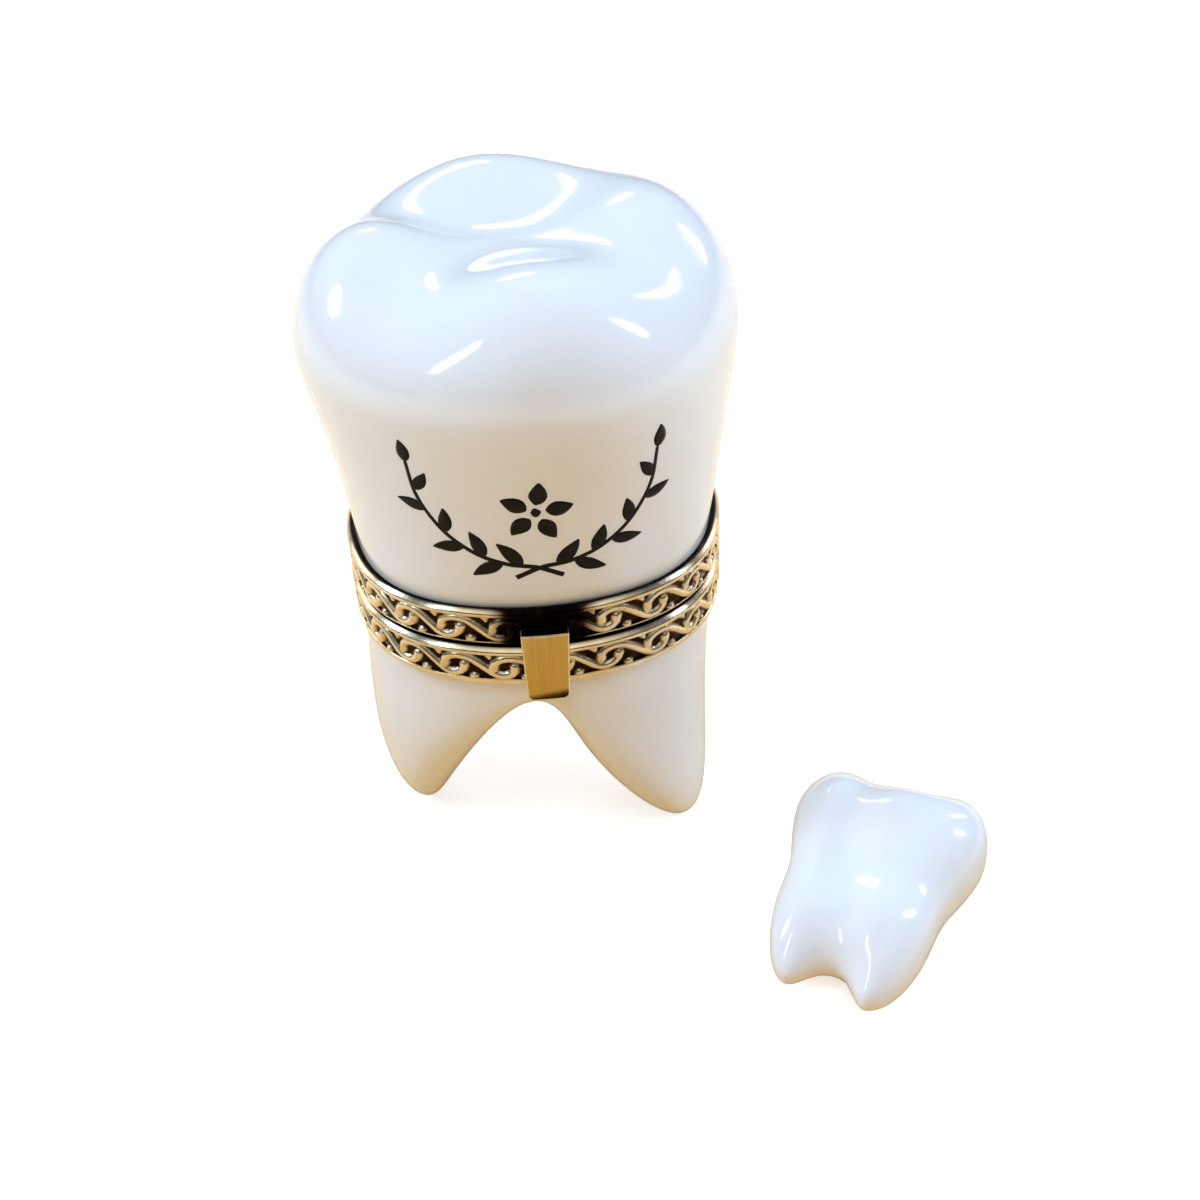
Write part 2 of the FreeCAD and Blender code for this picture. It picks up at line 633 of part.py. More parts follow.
def tooth_row(half_width, half_thickness, height_at, groove):
    """One row round the loose tooth, with a hollow down each broad face that leans to one side."""
    row = []
    power = size("tooth_power")
    for theta in bearings():
        across = math.copysign(abs(math.cos(theta)) ** (2 / power), math.cos(theta)) * half_width
        through = math.copysign(abs(math.sin(theta)) ** (2 / power), math.sin(theta)) * half_thickness
        height = height_at(theta)
        beside = across + size("tooth_groove_lean") * max(height, 0.0) / size("tooth_wide_height")
        hollow = groove * size("tooth_groove_depth") * math.exp(-(beside / size("tooth_groove_width")) ** 2)
        row.append(Vector(across, through - math.copysign(min(hollow, abs(through)), through), height))
    return row


def tooth_rows():
    """Rows from the hollow between the cusps, over the widest line and the neck, to the fork of the roots."""
    rows = []
    for share in (1.0,) + DOME_SHARES[::-1]:
        reach, rise = dome_shape(share, size("tooth_end_power"))
        reach = 0.0 if share == 1.0 else reach

        def top(theta, reach=reach, rise=rise):
            side = math.cos(theta) ** 2
            lift = size("tooth_fossa_lift") + side * (size("tooth_cusp_lift") - size("tooth_fossa_lift")) * (
                dish_step(reach, FORK_REACH_SHARE, TOOTH_REACH_SHARE))
            return size("tooth_wide_height") + lift * rise
        rows.append(tooth_row(size("tooth_half_width") * reach, size("tooth_half_thickness") * reach, top,
                              reach))
    for share in SIDE_SHARES:
        ease = smooth_step(share)
        height = size("tooth_wide_height") + share * (size("tooth_neck_height") - size("tooth_wide_height"))
        width = size("tooth_half_width") + ease * (size("tooth_neck_half_width") - size("tooth_half_width"))
        thick = size("tooth_half_thickness") + ease * (
            size("tooth_neck_half_thickness") - size("tooth_half_thickness"))
        rows.append(tooth_row(width, thick, lambda theta, height=height: height, 1.0))
    for share in DOME_SHARES + (1.0,):
        reach, fall = dome_shape(share, size("tooth_root_power"))
        reach = 0.0 if share == 1.0 else reach
        swell = size("tooth_root_swell") * math.sin(math.pi * fall)
        thick = size("tooth_neck_half_thickness") * reach + swell

        def under(theta, reach=reach, fall=fall):
            side = math.cos(theta) ** 2 * (1 + ROOT_DIFFERENCE_SHARE * math.cos(theta))
            drop = size("tooth_fork_drop") + side * (size("tooth_root_drop") - size("tooth_fork_drop")) * (
                dish_step(reach, FORK_REACH_SHARE, TOOTH_TIP_REACH_SHARE))
            return size("tooth_neck_height") - drop * fall
        rows.append(tooth_row(size("tooth_neck_half_width") * reach, thick if reach else 0.0, under, reach))
    return rows


# The loose tooth lies on the table, root tips and crown both touching it, with its crown pointing away.
tooth_lie = FreeCAD.Rotation(Vector(0, 0, 1), size("tooth_turn")).multiply(
    FreeCAD.Rotation(Vector(1, 0, 0), -90 + size("tooth_tilt")))
baby_tooth = add_shape("baby_tooth", skin_solid(tooth_rows()))
baby_tooth.Placement = FreeCAD.Placement(Vector(size("tooth_place_x"), size("tooth_place_y"), 0), tooth_lie,
                                         Vector(0, 0, 0))
lowest = baby_tooth.Shape.optimalBoundingBox(False, False).ZMin
baby_tooth.Placement.Base.z = baby_tooth.Placement.Base.z - lowest

doc.recompute()

PARTS = {
    "crown_lid": crown_lid,
    "root_base": root_base,
    "lid_collar": collars["lid"],
    "base_collar": collars["base"],
    "lid_gallery": galleries["lid"],
    "base_gallery": galleries["base"],
    "lid_hinge_leaf": leaves["lid"],
    "base_hinge_leaf": leaves["base"],
    "hinge_pin": pin_blank,
    "clasp_tongue": clasp_tongue,
    "catch_bead": catch_bead,
    "baby_tooth": baby_tooth,
}
for label, part in PARTS.items():
    part.Label = label
doc.recompute()

for item in doc.Objects:
    if "Invalid" in item.State or "Error" in item.State:
        raise RuntimeError(f"{item.Name} failed to build: {item.State}")
for label, part in PARTS.items():
    if part.Shape.isNull() or not part.Shape.isValid():
        raise RuntimeError(f"{label} has no valid shape")
    if len(part.Shape.Solids) != 1:
        raise RuntimeError(f"{label} has {len(part.Shape.Solids)} solids")

os.makedirs("parts", exist_ok=True)
for label, part in PARTS.items():
    part.Shape.exportStep(f"parts/{label}.step")
    box = part.Shape.optimalBoundingBox(False, False)
    print(f"{label}: volume {part.Shape.Volume:.1f}, x {box.XMin:.2f} to {box.XMax:.2f}, "
          f"y {box.YMin:.2f} to {box.YMax:.2f}, z {box.ZMin:.2f} to {box.ZMax:.2f}")
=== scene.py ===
# Looks of the tooth box: porcelain glaze, aged and scrolled brass, a painted sprig, light and camera.
# Metres, in the frame of the model: +Z is up, the clasp faces -Y and the hinge is at +Y.
import json
import math

import bpy
import numpy as np
from mathutils import Matrix, Vector
from mathutils.bvhtree import BVHTree

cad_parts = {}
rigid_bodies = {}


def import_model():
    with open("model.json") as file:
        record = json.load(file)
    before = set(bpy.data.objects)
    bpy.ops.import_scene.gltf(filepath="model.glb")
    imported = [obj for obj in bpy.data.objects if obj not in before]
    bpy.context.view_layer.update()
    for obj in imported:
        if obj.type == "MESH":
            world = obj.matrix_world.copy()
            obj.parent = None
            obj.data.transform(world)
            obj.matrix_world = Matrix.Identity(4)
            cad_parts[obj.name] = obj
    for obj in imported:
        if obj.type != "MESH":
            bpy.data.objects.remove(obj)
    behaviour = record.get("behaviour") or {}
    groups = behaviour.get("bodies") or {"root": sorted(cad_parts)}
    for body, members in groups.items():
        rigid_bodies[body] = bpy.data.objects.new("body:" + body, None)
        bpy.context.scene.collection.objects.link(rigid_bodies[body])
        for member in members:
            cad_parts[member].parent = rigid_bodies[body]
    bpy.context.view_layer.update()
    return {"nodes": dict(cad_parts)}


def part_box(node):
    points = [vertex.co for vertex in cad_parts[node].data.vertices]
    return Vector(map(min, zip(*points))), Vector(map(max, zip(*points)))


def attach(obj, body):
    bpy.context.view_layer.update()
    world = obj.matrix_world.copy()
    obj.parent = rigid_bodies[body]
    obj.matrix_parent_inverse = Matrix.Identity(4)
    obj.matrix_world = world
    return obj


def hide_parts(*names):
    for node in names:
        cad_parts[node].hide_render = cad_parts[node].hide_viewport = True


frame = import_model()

MM = 0.001

# The collars' outline and section, as in the model but with broader bevels on the rims.
CORNER_OFFSET = 2.9 * MM
SIDE_BULGE = 0.6 * MM
BORDER_INSET = 0.1 * MM
BORDER_HEIGHT = 0.45 * MM
FIELD_INSET = 0.4 * MM
WALL_INSET = 0.95 * MM
RIM_HEIGHT = 0.7 * MM
RIM_BEVEL = 0.40 * MM
RIM_THICKNESS = 0.5 * MM
FLANGE_INSET = 3.55 * MM
FLANGE_THICKNESS = 0.5 * MM
LIP_INSET = 0.5 * MM
LIP_HEIGHT = 0.37 * MM
EDGE_ROUND = 0.10 * MM
EDGE_ROUND_SHARE = 0.45
EDGE_STEPS = 3
RING_STEPS = 480
SHARP_ANGLE = math.radians(50)

# On the base's upper face the brass is dark at the first of these insets, and clear from the second:
# painted shade under the lid, where it shuts on the base.
SHADED_GAP_INSETS = [0.45 * MM, 1.6 * MM]

# The scrolled relief: one scroll's line as shares of its pitch and of the field's height, and the span
# of columns that its strokes can reach.
SCROLL_COUNT = 24
SCROLL_COLUMNS = 48
SCROLL_ROWS = 28
SCROLL_SPAN = (-SCROLL_COLUMNS // 4, 2 * SCROLL_COLUMNS)
SCROLL_SHARES = [(0.03, 0.44), (0.05, 0.62), (0.16, 0.79), (0.33, 0.85), (0.50, 0.80), (0.66, 0.63),
                 (0.82, 0.42), (0.97, 0.23), (1.13, 0.13), (1.29, 0.17), (1.40, 0.31), (1.43, 0.47)]
SCROLL_STEPS = 9
STROKE_RADIUS = 0.41 * MM
BALL_SWELL = 0.20
BALL_FALL = 12
TAB_SHARES = [(0.90, 1.0), (0.93, 0.84)]
KNOB_SHARES = [(0.60, 0.0), (0.62, 0.10)]
TAB_STEPS = 6
TAB_RADIUS = 0.38 * MM
TAB_TAPER = (1.25, 0.55)
TAB_RELIEF = 0.85
RIDGE_POWER = 0.65
RELIEF_HEIGHT = 0.35 * MM
RELIEF_BED = 0.02 * MM
SEATED_NODES = {"lid": ["lid_hinge_leaf", "clasp_tongue"], "base": ["base_hinge_leaf"]}

# How much the scrolls differ from one to the next.
SCROLL_SWAY = (0.018, 0.024)
SWAY_KNOTS = 4
STROKE_VARIATION = 0.07
SCROLL_SEEDS = {"lid": 3, "base": 8}

# The lid's collar is blackened on both sides of the tongue, a painted dark reflection.
DARK_REFLECTION_REACH = 5.6 * MM
DARK_REFLECTION_FADE = 2.8 * MM

# Textures are the noise's features per metre, its detail, and the stops of a ramp.
# Grains are the noise's features per metre, its detail, the bump's strength and its depth.

# White glaze, and a warm tint painted on a crown's glaze at its foot: painted light bounced from the
# brass.
GLAZE_TONES = (90, 3, [(0.3, (0.88, 0.88, 0.87)), (0.7, (0.915, 0.915, 0.91))])
GLAZE_ROUGHNESS = (220, 2, [(0.3, 0.08), (0.7, 0.13)])
GLAZE_GRAIN = (260, 1, 0.12, 0.05 * MM)
GLAZE_INPUTS = {"IOR": 1.52, "Subsurface Weight": 0.25, "Subsurface Radius": (1.0, 0.85, 0.7),
                "Subsurface Scale": 0.8 * MM, "Coat Weight": 0.35, "Coat Roughness": 0.06}
FOOT_RISE = 2.0 * MM
FOOT_BOUNCE_TONES = (300, 2, [(0.3, (0.78, 0.71, 0.54)), (0.7, (0.82, 0.76, 0.60))])
FOOT_FADE = [(0.25, 0.0), (1.0, 1.0)]

# Aged brass by its crest value: a painted dark reflection at 0; at the patina crest, patina in the
# hollows and painted shade in the gaps between parts; rubbed bright towards 1.
PATINA_AND_SHADE_CREST = 0.05
DARK_REFLECTION_ENDS = [(0.0, 0.0), (0.8 * PATINA_AND_SHADE_CREST, 1.0)]
RUBBED_STARTS = [(1.2 * PATINA_AND_SHADE_CREST, 0.0), (0.30, 0.45), (0.72, 1.0)]
BRASS_TONES = (420, 4, [(0.3, (0.74, 0.59, 0.37)), (0.7, (0.93, 0.80, 0.59))])
PATINA_AND_SHADE_TONES = (900, 3, [(0.35, (0.010, 0.003, 0.002)), (0.7, (0.036, 0.013, 0.006))])
DARK_REFLECTION_TONES = (900, 3, [(0.35, (0.001, 0.0007, 0.0006)), (0.7, (0.006, 0.003, 0.002))])
COLLAR_ROUGHNESS = (700, 3, [(0.3, 0.16), (0.75, 0.30)])
SCROLL_ROUGHNESS = (700, 3, [(0.3, 0.22), (0.75, 0.36)])
BRASS_GRAIN = (1600, 3, 0.25, 0.03 * MM)

# Brushed brass: its lines run up and down. The tongue's bevelled edges are painted bright, a painted
# highlight.
BRUSH_SCALE = 5200
BRUSH_DETAIL = 3
BRUSH_STRETCH = (1, 1, 0.03)
BRUSH_STRENGTH = 0.2
BRUSH_DEPTH = 0.02 * MM
SATIN_TONES = [(0.3, (0.58, 0.37, 0.11)), (0.7, (0.65, 0.44, 0.15))]
EDGE_HIGHLIGHT_TONES = [(0.3, (0.86, 0.72, 0.44)), (0.7, (0.95, 0.83, 0.56))]
SATIN_ROUGHNESS = (500, 3, [(0.3, 0.30), (0.75, 0.42)])

# The tongue has a painted dark reflection along its lower edge and on top, and narrow bevelled edges
# with a painted highlight.
SHADE_AXIS = (-0.15, 0, 1)
SHADE_STOPS = [(0.02, 0.0), (0.07, 0.12), (0.14, 1.0)]
SHADE_TONES = (900, 3, [(0.35, (0.018, 0.008, 0.004)), (0.7, (0.06, 0.03, 0.012))])
UPWARD_STOPS = [(0.85, 0.0), (0.95, 1.0)]
TONGUE_BEVEL = 0.12 * MM
TONGUE_BEVEL_STEPS = 2
TONGUE_EDGE_ANGLE = math.radians(40)
TONGUE_FLAT_ANGLE = math.radians(1)
TONGUE_JOIN_REACH = 0.001 * MM

# Black paint.
PAINT_TONES = (900, 3, [(0.3, (0.003, 0.0025, 0.0025)), (0.75, (0.012, 0.009, 0.008))])
PAINT_ROUGHNESS = (500, 2, [(0.3, 0.30), (0.7, 0.45)])
PAINT_GRAIN = (1200, 2, 0.3, 0.02 * MM)
PAINT_SPECULAR = 0.15

# The painted sprig on the crown's front, in millimetres from its middle: first the right-hand twig.
SPRIG_HEIGHT = 38.8
SPRIG_AHEAD = 30
SPRIG_STEM = [(-1.9, -5.7), (0.2, -4.7), (2.6, -4.3), (5.1, -3.3), (7.5, -1.3), (9.2, 1.6), (9.8, 4.8)]
STEM_STEPS = 10
STEM_WIDTH = 0.24
STEM_END_WIDTH = 0.6 * STEM_WIDTH
PAINT_HEIGHT = 0.035

# The section of a brush stroke, as shares of half its width and of the paint's height.
PAINT_SHARES = [(-1, 0.0), (-0.55, 0.8), (0, 1.0), (0.55, 0.8), (1, 0.0), (0, -0.8)]

# Leaves: each one's share of the way along the twig, and its side. The shares of their length and
# width are what they have at the twig's start and what they lose by its end.
SPRIG_LEAVES = [(0.26, 1), (0.36, -1), (0.46, 1), (0.56, -1), (0.66, 1), (0.77, -1), (0.88, 1)]
LEAF_LENGTH = 2.9
LEAF_WIDTH = 0.56
LEAF_TURN = math.radians(44)
LEAF_BEND = 0.35
LEAF_STEPS = 12
LEAF_BLUNTNESS = 0.12
LEAF_LENGTH_SHARES = (1.15, 0.5)
LEAF_WIDTH_SHARES = (1.1, 0.35)
LEAF_BELLY_POWER = 0.8
LEAF_SIDE_POWER = 0.9
END_LEAF_LENGTH = 0.7 * LEAF_LENGTH
END_LEAF_WIDTH = 0.8 * LEAF_WIDTH

# The blossom: petals and a bud, which lean by about half a leaf's bend.
PETAL_COUNT = 5
PETAL_REACH = 2.2
PETAL_WIDTH = 0.66
PETAL_START = 0.8
PETAL_LEAN = 0.17
BLOSSOM_HEIGHT = 0.9
BUD_LENGTH = 0.84
BUD_WIDTH = 0.42

# The photograph's camera: where it stands, and the pixel where the middle of the lid's rim is seen.
IMAGE_SIDE = 1200
FOCAL_PIXELS = 1800
SENSOR_WIDTH = 36.0
CLIP_START = 0.01
CAMERA_DISTANCE = 160 * MM
CAMERA_ELEVATION = math.radians(34.2)
CAMERA_TURN = math.radians(-3.0)
CAMERA_ROLL = math.radians(-2.9)
AIM_HEIGHT = 30 * MM
AIM_PIXEL = (532.5, 503.5)

# The floor as it lights the object, as the object mirrors it and as the camera sees it, and the sky.
TABLE_INPUTS = {"Base Color": (0.78, 0.50, 0.19, 1), "Roughness": 0.9, "Emission Strength": 1.0}
TABLE_GLOWS = [(0.04, (0.07, 0.05, 0.03)), (0.10, (0.09, 0.07, 0.06)), (0.26, (0.16, 0.22, 0.24))]
WARM_SPOT = (0, -0.06, 0)
MIRRORED_GLOWS = [(0.05, (0.07, 0.05, 0.03)), (0.12, (0.50, 0.52, 0.56))]
FLOOR_SIZE = 4
FLOOR_INPUTS = {"Base Color": (0.9, 0.9, 0.9, 1), "Roughness": 0.95, "Specular IOR Level": 0.0,
                "Emission Strength": 1.0}
FLOOR_GLOWS = [(0.10, 0.62), (0.40, 1.0)]
SKY_AXIS = (0, 0.35, 0.94)
SKY_STOPS = [(0.0, 0.085), (0.45, 0.145), (1.0, 0.25)]
WHITE = (1, 1, 1, 1)

# Lights: name, place, width, height, power, colour, and whether they show in matt light and in gloss.
MIDDLE = (0, 0, 0.045)
EVERYWHERE = (True, True)
MATT_ONLY = (True, False)
BRASS_GLOSS = (False, True)
LIGHTS = [("back_window", (-0.05, 0.36, 0.32), 0.13, 0.08, 0.14, (0.93, 0.93, 1.00), EVERYWHERE),
          ("left_window", (-0.37, 0.05, 0.29), 0.07, 0.16, 0.81, (0.54, 0.75, 1.00), EVERYWHERE),
          ("front_left_window", (-0.30, -0.19, 0.32), 0.04, 0.22, 0.26, (0.62, 0.84, 1.00), EVERYWHERE),
          ("right_window", (0.37, -0.01, 0.30), 0.05, 0.17, 0.28, (0.61, 0.71, 1.00), EVERYWHERE),
          ("back_right_window", (0.35, 0.23, 0.23), 0.03, 0.20, 0.30, (0.62, 0.72, 1.00), EVERYWHERE),
          ("overhead", (0.0, 0.02, 0.48), 0.30, 0.30, 0.36, (1.00, 0.95, 1.00), MATT_ONLY),
          ("front_high", (0.0, -0.20, 0.42), 0.20, 0.20, 0.84, (0.61, 0.79, 1.00), MATT_ONLY),
          ("left_low", (-0.45, 0.03, 0.12), 0.20, 0.20, 0.39, (0.53, 0.65, 1.00), MATT_ONLY),
          ("right_low", (0.45, 0.03, 0.12), 0.20, 0.20, 1.00, (0.46, 0.71, 1.00), MATT_ONLY),
          ("front_fill", (0.0, -0.50, 0.02), 0.50, 0.04, 0.25, (1.00, 0.36, 0.08), MATT_ONLY),
          ("left_panel", (-0.33, 0.27, 0.20), 0.25, 0.28, 0.52, (1.0, 0.97, 0.92), BRASS_GLOSS),
          ("right_panel", (0.33, 0.27, 0.20), 0.25, 0.28, 0.46, (1.0, 0.97, 0.92), BRASS_GLOSS),
          ("front_panel", (0.0, -0.26, 0.42), 0.60, 0.26, 0.36, (1.0, 0.95, 0.88), BRASS_GLOSS)]


# Shader helpers.

def new_material(name):
    material = bpy.data.materials.new(name)
    material.use_nodes = True
    tree = material.node_tree
    return material, tree, tree.nodes["Principled BSDF"]


def add_node(tree, kind, **settings):
    node = tree.nodes.new(kind)
    for key, value in settings.items():
        if key in node.inputs:
            node.inputs[key].default_value = value
        else:
            setattr(node, key, value)
    return node


def set_inputs(node, values):
    for name, value in values.items():
        node.inputs[name].default_value = value


def noise(tree, scale, detail, stretch=(1, 1, 1)):
    """Noise in the piece's own coordinates, with the scale in features per metre."""
    coordinates = add_node(tree, "ShaderNodeTexCoord")
    mapping = add_node(tree, "ShaderNodeMapping", Scale=stretch)
    texture = add_node(tree, "ShaderNodeTexNoise", Scale=scale, Detail=detail)
    tree.links.new(coordinates.outputs["Object"], mapping.inputs["Vector"])
    tree.links.new(mapping.outputs["Vector"], texture.inputs["Vector"])
    return texture.outputs["Fac"]


def ramp(tree, source, stops):
    node = add_node(tree, "ShaderNodeValToRGB")
    elements = node.color_ramp.elements
    while len(elements) < len(stops):
        elements.new(0.5)
    for element, (place, colour) in zip(elements, stops):
        element.position = place
        element.color = (*colour, 1.0) if isinstance(colour, tuple) else (colour, colour, colour, 1.0)
    tree.links.new(source, node.inputs["Fac"])
    return node.outputs["Color"]


def mottled(tree, texture):
    """The tones, or shades of roughness, of a texture."""
    scale, detail, stops = texture
    return ramp(tree, noise(tree, scale, detail), stops)


def bump(tree, shader, height, strength, depth):
    node = add_node(tree, "ShaderNodeBump", Strength=strength, Distance=depth)
    tree.links.new(height, node.inputs["Height"])
    tree.links.new(node.outputs["Normal"], shader.inputs["Normal"])


def add_grain(tree, shader, grain):
    scale, detail, strength, depth = grain
    bump(tree, shader, noise(tree, scale, detail), strength, depth)


def mix_colour(tree, share, first, second):
    """The first colour at 0 and the second at 1. The colour sockets have no names of their own."""
    node = add_node(tree, "ShaderNodeMix", data_type="RGBA")
    tree.links.new(share, node.inputs["Factor"])
    tree.links.new(first, node.inputs[6])
    tree.links.new(second, node.inputs[7])
    return node.outputs[2]


def share_along(tree, direction, start, end):
    """How far a point is from start to end along a direction, in the piece's own coordinates."""
    place = add_node(tree, "ShaderNodeTexCoord")
    along = add_node(tree, "ShaderNodeVectorMath", operation="DOT_PRODUCT")
    along.inputs[1].default_value = direction
    tree.links.new(place.outputs["Object"], along.inputs[0])
    share = add_node(tree, "ShaderNodeMapRange")
    set_inputs(share, {"From Min": start, "From Max": end})
    tree.links.new(along.outputs["Value"], share.inputs["Value"])
    return share.outputs["Result"]


# Materials.

def porcelain(name, foot=None):
    """White glaze, faintly cloudy and rippled. A crown's is tinted warm up from the height of its foot,
    painted bounce light from the brass.
    """
    material, tree, shader = new_material(name)
    tone = mottled(tree, GLAZE_TONES)
    if foot is not None:
        clear = ramp(tree, share_along(tree, (0, 0, 1), foot, foot + FOOT_RISE), FOOT_FADE)
        tone = mix_colour(tree, clear, mottled(tree, FOOT_BOUNCE_TONES), tone)
    tree.links.new(tone, shader.inputs["Base Color"])
    tree.links.new(mottled(tree, GLAZE_ROUGHNESS), shader.inputs["Roughness"])
    add_grain(tree, shader, GLAZE_GRAIN)
    set_inputs(shader, GLAZE_INPUTS)
    return material


def brass(name, roughness):
    """Aged brass. By the piece's crest value it is black at 0, a painted dark reflection, then dark with
    patina and painted shade, and bright at 1.
    """
    material, tree, shader = new_material(name)
    crest = add_node(tree, "ShaderNodeAttribute", attribute_name="crest").outputs["Fac"]
    clear = ramp(tree, crest, DARK_REFLECTION_ENDS)
    dark_tone = mix_colour(tree, clear, mottled(tree, DARK_REFLECTION_TONES), mottled(tree, PATINA_AND_SHADE_TONES))
    rubbed = ramp(tree, crest, RUBBED_STARTS)
    tone = mix_colour(tree, rubbed, dark_tone, mottled(tree, BRASS_TONES))
    tree.links.new(tone, shader.inputs["Base Color"])
    tree.links.new(mottled(tree, roughness), shader.inputs["Roughness"])
    add_grain(tree, shader, BRASS_GRAIN)
    set_inputs(shader, {"Metallic": 1.0})
    return material


def brushed_brass(name, tones, shaded=False):
    """Satin brass, brushed up and down. The tongue's has a painted dark reflection along its lower edge
    and on top.
    """
    material, tree, shader = new_material(name)
    lines = noise(tree, BRUSH_SCALE, BRUSH_DETAIL, BRUSH_STRETCH)
    tone = ramp(tree, lines, tones)
    if shaded:
        # A painted dark reflection: along the lower edge, reaching higher on the right, and on the faces
        # turned upward.
        low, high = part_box("clasp_tongue")
        dark_tone = mottled(tree, SHADE_TONES)
        clear = ramp(tree, share_along(tree, SHADE_AXIS, low.z, high.z), SHADE_STOPS)
        tone = mix_colour(tree, clear, dark_tone, tone)
        place = add_node(tree, "ShaderNodeTexCoord")
        facing = add_node(tree, "ShaderNodeSeparateXYZ")
        tree.links.new(place.outputs["Normal"], facing.inputs["Vector"])
        upward = ramp(tree, facing.outputs["Z"], UPWARD_STOPS)
        tone = mix_colour(tree, upward, tone, dark_tone)
    tree.links.new(tone, shader.inputs["Base Color"])
    tree.links.new(mottled(tree, SATIN_ROUGHNESS), shader.inputs["Roughness"])
    bump(tree, shader, lines, BRUSH_STRENGTH, BRUSH_DEPTH)
    set_inputs(shader, {"Metallic": 1.0})
    return material


def black_paint():
    material, tree, shader = new_material("black_enamel")
    tree.links.new(mottled(tree, PAINT_TONES), shader.inputs["Base Color"])
    tree.links.new(mottled(tree, PAINT_ROUGHNESS), shader.inputs["Roughness"])
    add_grain(tree, shader, PAINT_GRAIN)
    set_inputs(shader, {"Specular IOR Level": PAINT_SPECULAR})
    return material


# Mesh helpers.

def new_piece(name, points, faces, material, body):
    mesh = bpy.data.meshes.new(name)
    mesh.from_pydata([tuple(point) for point in points], [], [tuple(face) for face in faces])
    mesh.validate()
    mesh.shade_smooth()
    mesh.materials.append(material)
    piece = bpy.data.objects.new(name, mesh)
    bpy.context.scene.collection.objects.link(piece)
    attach(piece, body)
    return piece


def set_crest(piece, values):
    attribute = piece.data.attributes.new("crest", "FLOAT", "POINT")
    attribute.data.foreach_set("value", np.asarray(values, np.float32).ravel())


def torus_faces(rings, points_in_ring):
    """Quads of a closed tube of closed rings, given as [ring][point]."""
    faces = []
    for ring in range(rings):
        here = ring * points_in_ring
        there = ((ring + 1) % rings) * points_in_ring
        for j in range(points_in_ring):
            k = (j + 1) % points_in_ring
            faces.append((here + j, there + j, there + k, here + k))
    return faces


def smooth_line(points, steps):
    """Points on a smooth line through the given ones."""
    points = np.array(points, float)
    padded = np.vstack([2 * points[0] - points[1], points, 2 * points[-1] - points[-2]])
    out = []
    for k in range(len(points) - 1):
        a, b, c, d = padded[k:k + 4]
        linear = c - a
        square = 2 * a - 5 * b + 4 * c - d
        cube = 3 * b - a - 3 * c + d
        for share in np.arange(steps) / steps:
            out.append(0.5 * (2 * b + linear * share + square * share ** 2 + cube * share ** 3))
    out.append(points[-1])
    return np.array(out)


# The collars.

lid_low, lid_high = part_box("lid_collar")
base_low, base_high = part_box("base_collar")
half_width, half_depth = lid_high.x, lid_high.y


def collar_outline(count):
    """Evenly spaced points of the outline from the front's middle, the ways outward, and its length."""
    reach = min(half_width, half_depth) - CORNER_OFFSET
    radius = reach - SIDE_BULGE
    corner = np.array([half_width - reach, half_depth - reach])
    side_radius = (reach ** 2 + corner[1] ** 2 - radius ** 2) / (2 * SIDE_BULGE)
    front_radius = (reach ** 2 + corner[0] ** 2 - radius ** 2) / (2 * SIDE_BULGE)
    side = np.array([half_width - side_radius, 0])
    front = np.array([0, half_depth - front_radius])
    side_turn = math.atan2(*(corner - side)[::-1])
    front_turn = math.atan2(*(corner - front)[::-1])
    marks = [0, side_turn, front_turn, math.pi / 2]
    radii = np.array([side_radius, radius, front_radius])
    spans = radii * np.diff(marks)
    lengths, turns = [0.0], [-math.pi / 2]
    for quarter in range(4):
        order = (2, 1, 0) if quarter % 2 == 0 else (0, 1, 2)
        for arc in order:
            lengths.append(lengths[-1] + spans[arc])
            turns.append(turns[-1] + marks[arc + 1] - marks[arc])
    turn = np.interp(np.arange(count) * lengths[-1] / count, lengths, turns)
    outward = np.c_[np.cos(turn), np.sin(turn)]
    folded = np.arctan2(np.abs(outward[:, 1]), np.abs(outward[:, 0]))
    arc = np.searchsorted([side_turn, front_turn], folded)
    centres = np.array([side, corner, front])[arc]
    points = np.where(outward < 0, -1, 1) * (centres + radii[arc][:, None] * np.abs(outward))
    return points, outward, lengths[-1]


def band_points(points, outward, insets, heights):
    """Points of a band round the outline, as [ring][point], at insets from it and at heights."""
    ring = points[:, None, :] - outward[:, None, :] * insets[..., None]
    heights = np.broadcast_to(heights[None, :, None], (*ring.shape[:2], 1))
    return np.concatenate([ring, heights], 2).reshape(-1, 3)


def clear_of_dark_reflection(side, points):
    """How clear of the painted dark reflection each point of the outline is: 1 is clear, and 0 is black.
    """
    if side != "lid":
        return np.ones(len(points))
    share = np.clip((np.abs(points[:, 0]) - DARK_REFLECTION_REACH + DARK_REFLECTION_FADE) / DARK_REFLECTION_FADE, 0, 1)
    return np.where(points[:, 1] < 0, share ** 2 * (3 - 2 * share), 1.0)


def rounded(profile):
    """A closed section with each corner rounded off."""
    profile = np.array(profile)
    out = []
    for k, corner in enumerate(profile):
        before = profile[k - 1] - corner
        after = profile[(k + 1) % len(profile)] - corner
        shorter = min(np.linalg.norm(before), np.linalg.norm(after))
        reach = min(EDGE_ROUND, EDGE_ROUND_SHARE * shorter)
        start = corner + before / np.linalg.norm(before) * reach
        end = corner + after / np.linalg.norm(after) * reach
        for share in np.linspace(0, 1, EDGE_STEPS + 1):
            out.append((1 - share) ** 2 * start + 2 * share * (1 - share) * corner + share ** 2 * end)
    return np.array(out)


